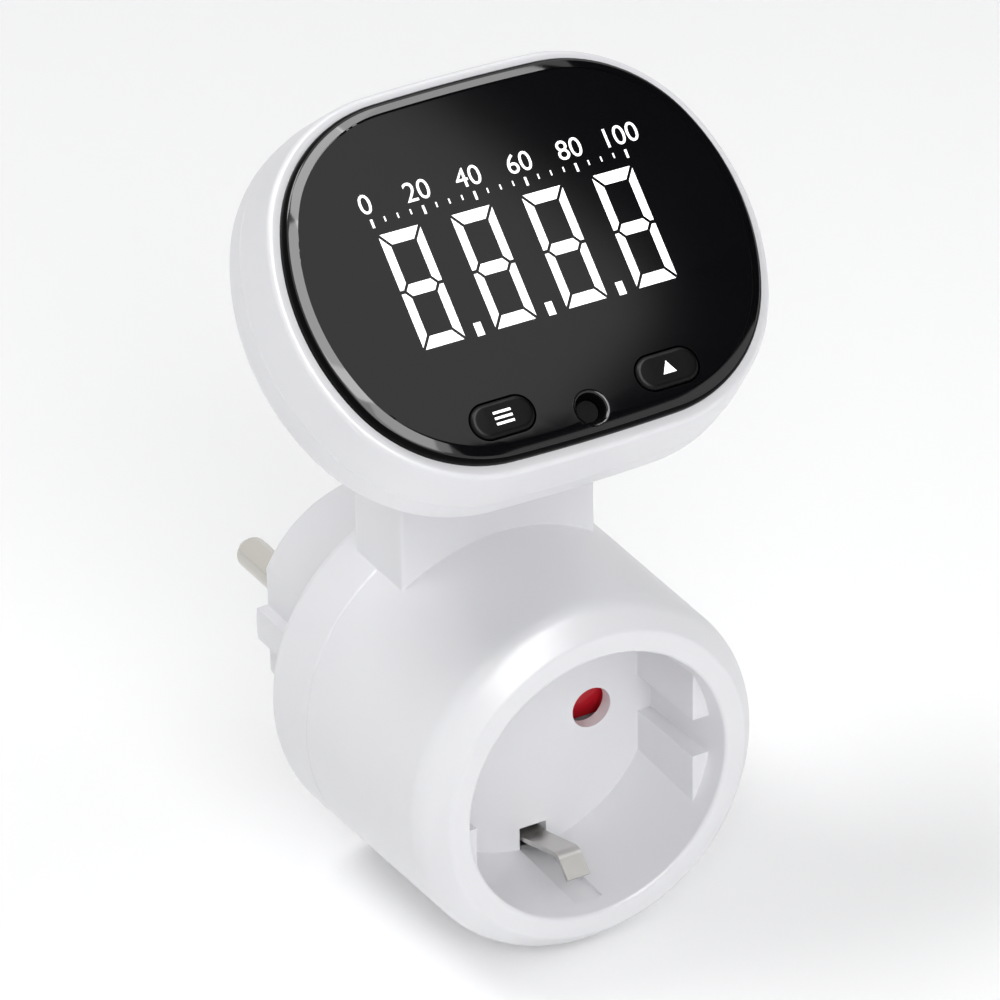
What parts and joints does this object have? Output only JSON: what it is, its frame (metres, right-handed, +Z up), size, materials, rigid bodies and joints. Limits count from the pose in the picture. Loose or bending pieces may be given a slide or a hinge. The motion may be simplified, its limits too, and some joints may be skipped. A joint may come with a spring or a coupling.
{
  "type": "plug-in energy monitor",
  "caption": "Plug-in energy monitor: round barrel with a shuttered mains socket in front and a plug behind, and a tilted display head with keys on a short neck.",
  "frame": {"origin": "centre of the plug's end face, which rests on the floor of a wall socket", "axes": "+Y into the wall along the plug's axis, +Z up towards the display head, +X to the right of a person who faces the display"},
  "size_m": [0.0722, 0.0819, 0.116],
  "materials": {
    "white_plastic": "semi-gloss moulded ABS, cool white",
    "black_gloss": "polished black acrylic",
    "lit_white": "white diffusing display segments",
    "black_key": "satin black moulded key",
    "red_plastic": "red moulded plastic",
    "grey_plastic": "light grey moulded polyamide",
    "clip_steel": "bright rolled spring strip",
    "screw_steel": "zinc-plated steel",
    "spring_wire": "drawn spring wire",
    "nickel_brass": "nickel-plated brass",
    "contact_brass": "plain sheet brass",
    "shunt_alloy": "copper-manganese resistance alloy",
    "circuit_board": "green coated glass-fibre board",
    "yellow_film": "yellow moulded case",
    "capacitor_can": "sleeved aluminium can",
    "blue_epoxy": "blue dipped epoxy",
    "chip_black": "matt black moulding compound",
    "connector_nylon": "natural nylon",
    "ribbon_grey": "grey ribbon insulation"
  },
  "bodies": {
    "root": {"front_housing": "white_plastic", "rear_housing": "white_plastic", "housing_screws": "screw_steel", "contact_carrier": "grey_plastic", "carrier_screws": "screw_steel", "live_contact": "contact_brass", "neutral_contact": "contact_brass", "current_shunt": "shunt_alloy", "left_pin": "nickel_brass", "right_pin": "nickel_brass", "pin_retainer": "grey_plastic", "retainer_screws": "screw_steel", "earth_clip": "clip_steel", "plug_earth_strap": "nickel_brass", "main_board": "circuit_board", "board_screws": "screw_steel", "film_capacitor": "yellow_film", "electrolytic_capacitor": "capacitor_can", "varistor": "blue_epoxy", "metering_chip": "chip_black", "main_connector": "connector_nylon", "ribbon_cable": "ribbon_grey", "head_bezel": "white_plastic", "head_back_shell": "white_plastic", "head_screws": "screw_steel", "neck_screws": "screw_steel", "display_panel": "black_gloss", "digit_segments": "lit_white", "display_module": "chip_black", "display_board": "circuit_board", "display_connector": "connector_nylon", "tact_switches": "chip_black", "shutter_spring": "spring_wire"},
    "shutter": {"socket_shutter": "red_plastic"},
    "mode_key": {"mode_button": "black_key"},
    "up_key": {"up_button": "black_key"},
    "reset_key": {"reset_button": "black_key"}
  },
  "joints": [
    {"name": "shutter_slide", "type": "slide", "parent": "root", "child": "shutter", "axis": [0, 0, 1], "range_m": [0, 0.0072], "stiffness_N_per_m": 60, "springref_m": -0.004, "deforming": ["shutter_spring"]},
    {"name": "mode_press", "type": "slide", "parent": "root", "child": "mode_key", "axis": [0, 0.7071, -0.7071], "range_m": [0, 0.0005], "stiffness_N_per_m": 600, "springref_m": -0.0005},
    {"name": "up_press", "type": "slide", "parent": "root", "child": "up_key", "axis": [0, 0.7071, -0.7071], "range_m": [0, 0.0005], "stiffness_N_per_m": 600, "springref_m": -0.0005},
    {"name": "reset_press", "type": "slide", "parent": "root", "child": "reset_key", "axis": [0, 0.7071, -0.7071], "range_m": [0, 0.0005], "stiffness_N_per_m": 600, "springref_m": -0.0005}
  ]
}
